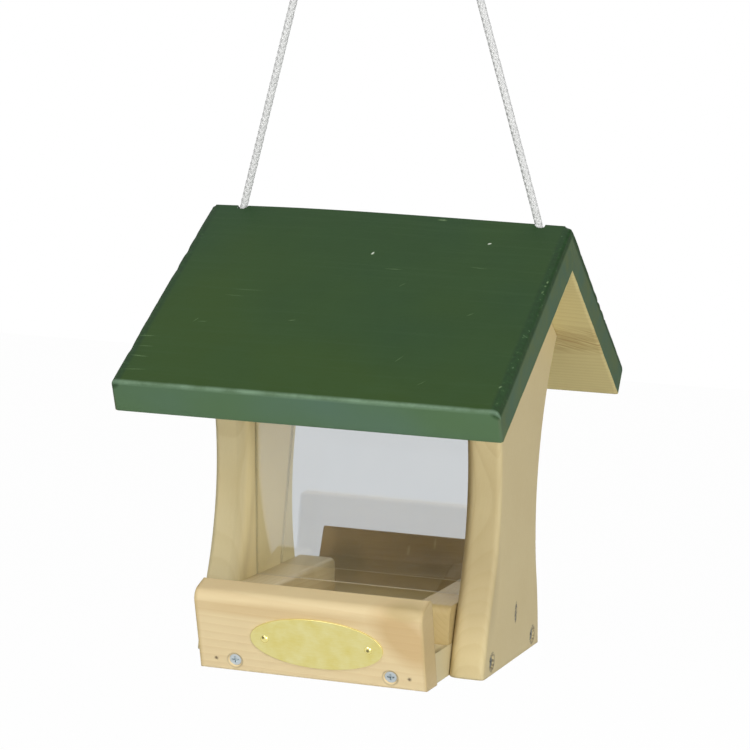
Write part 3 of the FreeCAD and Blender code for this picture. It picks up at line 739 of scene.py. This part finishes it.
def paintPatterns(tree, turned):        # where a point lies on its board, and noise that the paint shares
    place = addNode(tree, "TexCoord").outputs["Object"]
    coat = {"place": place}
    for key in ("depth", "eaveEdge", "gableEdge", "gableFace"):
        coat[key] = addNode(tree, "Attribute", attribute_name=key).outputs["Fac"]
    turn = (roof["pitch"], 0, math.pi if turned else 0)
    coat["board"] = addNode(tree, "Mapping", {"Vector": place, "Location": (0, 0, roof["ridgeZ"]),
                                              "Rotation": turn}, vector_type="TEXTURE")
    coat["up"] = addNode(tree, "SeparateXYZ", {0: coat["board"]}).outputs[1]
    coat["end"] = addNode(tree, "MapRange", {"Value": coat["gableFace"]}, span=paint["endFace"])
    coat["mottle"] = addNode(tree, "TexNoise", {"Vector": place, "Scale": 1 / paint["mottle"], "Detail": 5.0,
                                                "Roughness": 0.62})
    for key in ("speckle", "broad"):
        coat[key] = addNode(tree, "TexNoise", {"Vector": place, "Scale": 1 / paint[key], "Detail": 2.0})
    long = addNode(tree, "Mapping", {"Vector": place, "Scale": paint["brushMark"]}, vector_type="TEXTURE")
    coat["brush"] = addNode(tree, "TexNoise", {"Vector": long, "Scale": 1.0, "Detail": 3.0})
    return coat

def coverColour(tree, coat):        # dark streaky top; paler ends where the paint is thin; a paler eave, partly thin paint, partly painted sheen
    blotch = addNode(tree, "ValToRGB", {0: coat["mottle"]}, ramp=paint["blotch"])
    tint = addNode(tree, "Math", {0: coat["up"], 1: paint["fade"], 2: coat["broad"]},
                   operation="MULTIPLY_ADD")
    tint = addNode(tree, "MapRange", {"Value": tint}, span=paint["faded"])
    cool = addNode(tree, "MapRange", {"Value": coat["broad"]}, span=paint["cool"])
    faces = {}
    for face, share in (("top", tint), ("eave", cool), ("gable", blotch)):
        one, other = paint[face]
        faces[face] = addNode(tree, "Mix", {0: share, 6: linear(one), 7: linear(other)}, data_type="RGBA")
    stroke = addNode(tree, "ValToRGB", {0: coat["brush"]}, ramp=paint["stroke"])
    stroke = addNode(tree, "Math", {0: blotch, 1: paint["blotchStreaks"], 2: stroke},
                     operation="MULTIPLY_ADD")
    top = addNode(tree, "Mix", {0: stroke, 6: faces["top"], 7: linear(paint["streak"])}, data_type="RGBA")
    side = addNode(tree, "Mix", {0: coat["end"], 6: faces["eave"], 7: faces["gable"]}, data_type="RGBA")
    down = addNode(tree, "MapRange", {"Value": coat["depth"]}, span=paint["turnDown"])
    return addNode(tree, "Mix", {0: down, 6: top, 7: side}, data_type="RGBA")

def edgeColour(tree, coat, colour):        # specked paint on the gable edges, partly darkened as a painted reflection on their rounding; a rubbed line along the eave, partly a painted highlight
    band = addNode(tree, "MapRange", {"Value": coat["gableEdge"], "To Max": paint["bandShare"]},
                   span=paint["gableBand"])
    grit = addNode(tree, "ValToRGB", {0: coat["speckle"]},
                   ramp=[(0.32, paint["dark"]), (0.64, paint["top"][0]), (0.72, paint["streak"]),
                         (0.86, paint["worn"])])
    colour = addNode(tree, "Mix", {0: band, 6: colour, 7: grit}, data_type="RGBA")
    # a rubbed line along the eave, partly a painted highlight on its rounding
    line = addNode(tree, "MapRange", {"Value": coat["eaveEdge"]}, span=paint["eaveRubAndHighlight"])
    gaps = addNode(tree, "ValToRGB", {0: coat["mottle"]}, ramp=paint["lineGaps"])
    line = addNode(tree, "Math", {0: line, 1: gaps}, operation="MULTIPLY")
    return addNode(tree, "Mix", {0: line, 6: colour, 7: linear(paint["worn"])}, data_type="RGBA")

def lostPaint(tree, coat, chips):        # chips and scratches, each an uneven oval on the slope
    ragged = addNode(tree, "TexNoise", {"Vector": coat["place"], "Scale": 1 / paint["ragged"],
                                        "Detail": 1.0}).outputs["Color"]
    jagged = addNode(tree, "VectorMath", {0: ragged, 1: paint["raggedBy"], 2: coat["board"]},
                     operation="MULTIPLY_ADD")
    lost = 0.0
    for x, down, length, width, angle, share in chips:
        away = fromOval(tree, jagged, (x / 1000, -down / 1000, 0),
                        (length / 2000, width / 2000, paint["chipDepth"]), (0, 0, angle))
        chip = addNode(tree, "MapRange", {"Value": away, "To Max": share}, span=paint["chipEdge"])
        lost = addNode(tree, "Math", {0: chip, 1: lost}, operation="MAXIMUM")
    return lost

def undersideWood(tree, coat):        # colour and height of the bare side, rough where the saw tore it
    wood, height = woodGrain(tree, coat["place"], underside["wood"])[:2]
    sawn = addNode(tree, "Mapping", {"Vector": coat["board"], "Rotation": (0, 0, underside["tearTurn"]),
                                     "Scale": underside["tear"]}, vector_type="TEXTURE")
    tears = addNode(tree, "TexNoise", {"Vector": sawn, "Scale": 1.0, "Detail": 3.0})
    torn = addNode(tree, "MapRange", {"Value": tears, "To Max": underside["tearShare"]},
                   span=underside["tears"])
    for edge in ("bandTop", "bandFoot"):
        within = addNode(tree, "MapRange", {"Value": coat["up"]}, span=underside[edge])
        torn = addNode(tree, "Math", {0: torn, 1: within}, operation="MULTIPLY")
    wood = addNode(tree, "Mix", {0: torn, 6: wood, 7: linear(underside["torn"])}, data_type="RGBA")
    height = addNode(tree, "Math", {0: torn, 1: underside["tearHeight"], 2: height}, operation="MULTIPLY_ADD")
    return wood, height

def paintMaterial(name, turned, chips):        # satin green garden paint, thin and scuffed, bare pine below
    material, tree = newMaterial(name)
    coat = paintPatterns(tree, turned)
    colour = edgeColour(tree, coat, coverColour(tree, coat))
    lost = lostPaint(tree, coat, chips)
    bared = addNode(tree, "ValToRGB", {0: lost}, ramp=[(0.30, paint["scuff"]), (0.80, paint["chip"])])
    cover = addNode(tree, "Math", {0: lost, 1: paint["chipCover"]}, operation="MULTIPLY", use_clamp=True)
    colour = addNode(tree, "Mix", {0: cover, 6: colour, 7: bared}, data_type="RGBA")

    # the paint ends in an uneven line round the bare underside
    wood, height = undersideWood(tree, coat)
    drip = addNode(tree, "Math", {0: coat["mottle"], 1: coat["end"]}, operation="MULTIPLY")
    drip = addNode(tree, "Math", {0: drip, 1: paint["drip"], 2: coat["depth"]}, operation="MULTIPLY_ADD")
    bare = addNode(tree, "MapRange", {"Value": drip},
                   span=(roof["thick"] - paint["lowerEdge"], roof["thick"]))
    colour = addNode(tree, "Mix", {0: bare, 6: colour, 7: wood}, data_type="RGBA")
    low, high = paint["rough"]
    rough = addNode(tree, "MapRange", {"Value": coat["mottle"], "To Min": low, "To Max": high})
    for share, duller in ((coat["end"], paint["endRough"]), (bare, paint["woodRough"])):
        rough = addNode(tree, "Mix", {0: share, 2: rough, 3: duller}, data_type="FLOAT")
    tooth = addNode(tree, "Math", {0: coat["brush"], 1: paint["brushHeight"], 2: coat["speckle"]},
                    operation="MULTIPLY_ADD")
    tooth = addNode(tree, "Math", {0: lost, 1: paint["chipHeight"], 2: tooth}, operation="MULTIPLY_ADD")
    relief = addNode(tree, "Mix", {0: bare, 2: tooth, 3: height}, data_type="FLOAT")
    bump = addNode(tree, "Bump", {"Strength": 0.4, "Distance": paint["height"], "Height": relief})
    shader = addNode(tree, "BsdfPrincipled", {"Base Color": colour, "Roughness": rough,
                                              "Specular IOR Level": 0.12, "Normal": bump})
    addNode(tree, "OutputMaterial", {"Surface": shader})
    return material

def makeRoof():
    for side, board in boards.items():
        name = "roofBoard_" + side
        piece = newPiece(name, boardMesh(name, board["turned"], board["seed"], board["nicks"]), "roof")
        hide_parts("roof_board_" + side)
        green = paintMaterial("green garden paint " + side, board["turned"], board["chips"])
        piece.data.materials.append(green)
        print("roof board", side, "faces:", len(piece.data.polygons))

makeRoof()

# Windows: clear acrylic sheet with a grey cast
pane = {
    "clear": "#F4F7F9",
    "dusty": "#F8FAFB",
    "film": "#FFFFFF",        # what lamps pass through, so that the hopper isn't dark
    "edge": "#CFC2A6",        # sawn and dusty
    "edgeRough": 0.9,
    "edgeFacing": 0.6,        # a face that looks up or down more than this is an edge
    "haze": 0.02,
    "hazy": (0.4, 0.8),
    "wipe": (0.03333, 0.03333, 0.002381),   # a wipe mark's length and height
    "dust": 0.01667,
    "bend": 0.039,            # the sheets bend outwards in their grooves, which lifts what they mirror
    "coatIor": 1.6,
    "sheets": {"window_front": {"side": -1, "ior": 1.60, "coated": True},
               "window_back": {"side": 1, "ior": 1.22, "coated": False}},
}

def acrylicMaterial(name, sheet):        # clear sheet, grey with dust, wipe marks that only catch the light
    material, tree = newMaterial("clear acrylic " + name)
    where = addNode(tree, "TexCoord").outputs
    wipes = addNode(tree, "Mapping", {"Vector": where["Object"], "Scale": pane["wipe"]},
                    vector_type="TEXTURE")
    smears = addNode(tree, "TexNoise", {"Vector": wipes, "Scale": 1.0, "Detail": 3.0})
    dust = addNode(tree, "TexNoise", {"Vector": where["Object"], "Scale": 1 / pane["dust"], "Detail": 4.0})
    facing = addNode(tree, "SeparateXYZ", {0: where["Normal"]}).outputs
    steep = addNode(tree, "Math", {0: facing[2]}, operation="ABSOLUTE")
    edge = addNode(tree, "Math", {0: steep, 1: pane["edgeFacing"]}, operation="GREATER_THAN")
    through = addNode(tree, "Math", {0: 1.0, 1: edge}, operation="SUBTRACT")
    tint = addNode(tree, "Mix", {0: dust, 6: linear(pane["clear"]), 7: linear(pane["dusty"])},
                   data_type="RGBA")
    tint = addNode(tree, "Mix", {0: edge, 6: tint, 7: linear(pane["edge"])}, data_type="RGBA")
    rough = addNode(tree, "MapRange", {"Value": smears, "To Max": pane["haze"]}, span=pane["hazy"])
    rough = addNode(tree, "Math", {0: edge, 1: pane["edgeRough"], 2: rough}, operation="MULTIPLY_ADD")

    # the bend leans both faces of a sheet the same way, outwards at the top
    outward = addNode(tree, "Math", {0: facing[1]}, operation="SIGN")
    high = addNode(tree, "SeparateXYZ", {0: where["Object"]}).outputs[2]
    stand = addNode(tree, "Math", {0: outward, 1: high}, operation="MULTIPLY")
    stand = addNode(tree, "Math", {0: stand, 1: sheet["side"] * pane["bend"]}, operation="MULTIPLY")
    bent = addNode(tree, "Bump", {"Strength": 1.0, "Distance": 1.0, "Height": stand})
    clear = addNode(tree, "BsdfPrincipled", {"Base Color": tint, "Roughness": rough, "IOR": sheet["ior"],
                                             "Transmission Weight": through,
                                             "Coat Weight": through if sheet["coated"] else 0.0,
                                             "Coat IOR": pane["coatIor"], "Coat Normal": bent,
                                             "Normal": bent})
    film = addNode(tree, "BsdfTransparent", {"Color": linear(pane["film"])})
    path = addNode(tree, "LightPath").outputs
    lamp = addNode(tree, "Math", {0: path["Is Shadow Ray"], 1: path["Is Diffuse Ray"]}, operation="MAXIMUM")
    both = addNode(tree, "MixShader", {0: lamp, 1: clear, 2: film})
    addNode(tree, "OutputMaterial", {"Surface": both})
    return material

for name, sheet in pane["sheets"].items():
    dress([name], acrylicMaterial(name, sheet))
print("windows dressed")

# Metal: oval brass plate and its pins, zinc screws and nails, dark brads and staples
metals = {
    "rolled brass": {
        "nodes": ["name_plate"],
        "light": "#E9E3AA", "dull": "#DBCB6E", "rough": (0.26, 0.40), "along": (1, 12, 12)},
    "polished brass": {
        "nodes": ["plate_pins"],
        "light": "#F3EAA8", "dull": "#DCCB74", "rough": (0.16, 0.28),
        "dots": [(-0.0270, -0.1124, 0.0225), (0.0346, -0.1122, 0.0213)],
        "dotReach": 0.0012, "dot": "#57502C"},
    "zinc plated steel": {
        "nodes": ["front_rail_screws", "back_rail_screws", "ridge_nails"],
        "light": "#DDE4E6", "dull": "#A9B4B8", "rough": (0.24, 0.42)},
    # the sunk panel screws' zinc, darker than the rail screws'
    "darker zinc": {
        "nodes": ["left_panel_screws", "right_panel_screws"],
        "light": "#9A9D99", "dull": "#5E605C", "rough": (0.42, 0.62)},
    # rusty steel, darkened as painted shade round the sunk brad heads
    "rusty steel with painted shade": {
        "nodes": ["front_rail_brads", "back_rail_brads"],
        "light": "#A8967A", "dull": "#75664E", "rough": (0.45, 0.65)},
    # dark steel, standing also for the shade of the slit round each staple
    "dark steel wire with painted shade": {
        "nodes": ["strip_staple_left", "strip_staple_right"],
        "light": "#77726A", "dull": "#46423B", "rough": (0.40, 0.60)},
}
# What all the metals share
tarnish = {
    "patch": 0.007692,
    "line": 0.004167,         # rolling lines are drawn coarser than the real 0.05 mm, which wouldn't show
    "lineShare": 0.5,
    "start": -0.25,
    "dotShare": 0.8,
    "soft": 0.0002,           # radius of an edge
    "height": 0.0001,
}

def metalMaterial(name, metal):        # a metal with soft dull patches and fine lines from rolling or driving
    material, tree = newMaterial(name)
    place = addNode(tree, "TexCoord").outputs["Object"]
    rolled = addNode(tree, "Mapping", {"Vector": place, "Scale": metal.get("along", (1, 1, 1))})
    patches = addNode(tree, "TexNoise", {"Vector": place, "Scale": 1 / tarnish["patch"], "Detail": 4.0})
    lines = addNode(tree, "TexNoise", {"Vector": rolled, "Scale": 1 / tarnish["line"], "Detail": 3.0})
    share = addNode(tree, "Math", {0: lines, 1: tarnish["lineShare"], 2: tarnish["start"]},
                    operation="MULTIPLY_ADD")
    share = addNode(tree, "Math", {0: patches, 1: share}, operation="ADD", use_clamp=True)
    colour = addNode(tree, "Mix", {0: share, 6: linear(metal["light"]), 7: linear(metal["dull"])},
                     data_type="RGBA")
    for dot in metal.get("dots", []):        # a dark dot on each pin's head
        away = addNode(tree, "VectorMath", {0: place, 1: dot}, operation="DISTANCE")
        mark = addNode(tree, "MapRange", {"Value": away, "To Max": tarnish["dotShare"]},
                       span=(metal["dotReach"], metal["dotReach"] / 2))
        colour = addNode(tree, "Mix", {0: mark, 6: colour, 7: linear(metal["dot"])}, data_type="RGBA")
    low, high = metal["rough"]
    rough = addNode(tree, "MapRange", {"Value": lines, "To Min": low, "To Max": high})
    soft = addNode(tree, "Bevel", {"Radius": tarnish["soft"]}, samples=4)
    bump = addNode(tree, "Bump", {"Strength": 0.15, "Distance": tarnish["height"], "Height": lines,
                                  "Normal": soft})
    shader = addNode(tree, "BsdfPrincipled", {"Base Color": colour, "Metallic": 1.0, "Roughness": rough,
                                              "Normal": bump})
    addNode(tree, "OutputMaterial", {"Surface": shader})
    return material

for name, metal in metals.items():
    dress(metal["nodes"], metalMaterial(name, metal))
print("metal dressed")
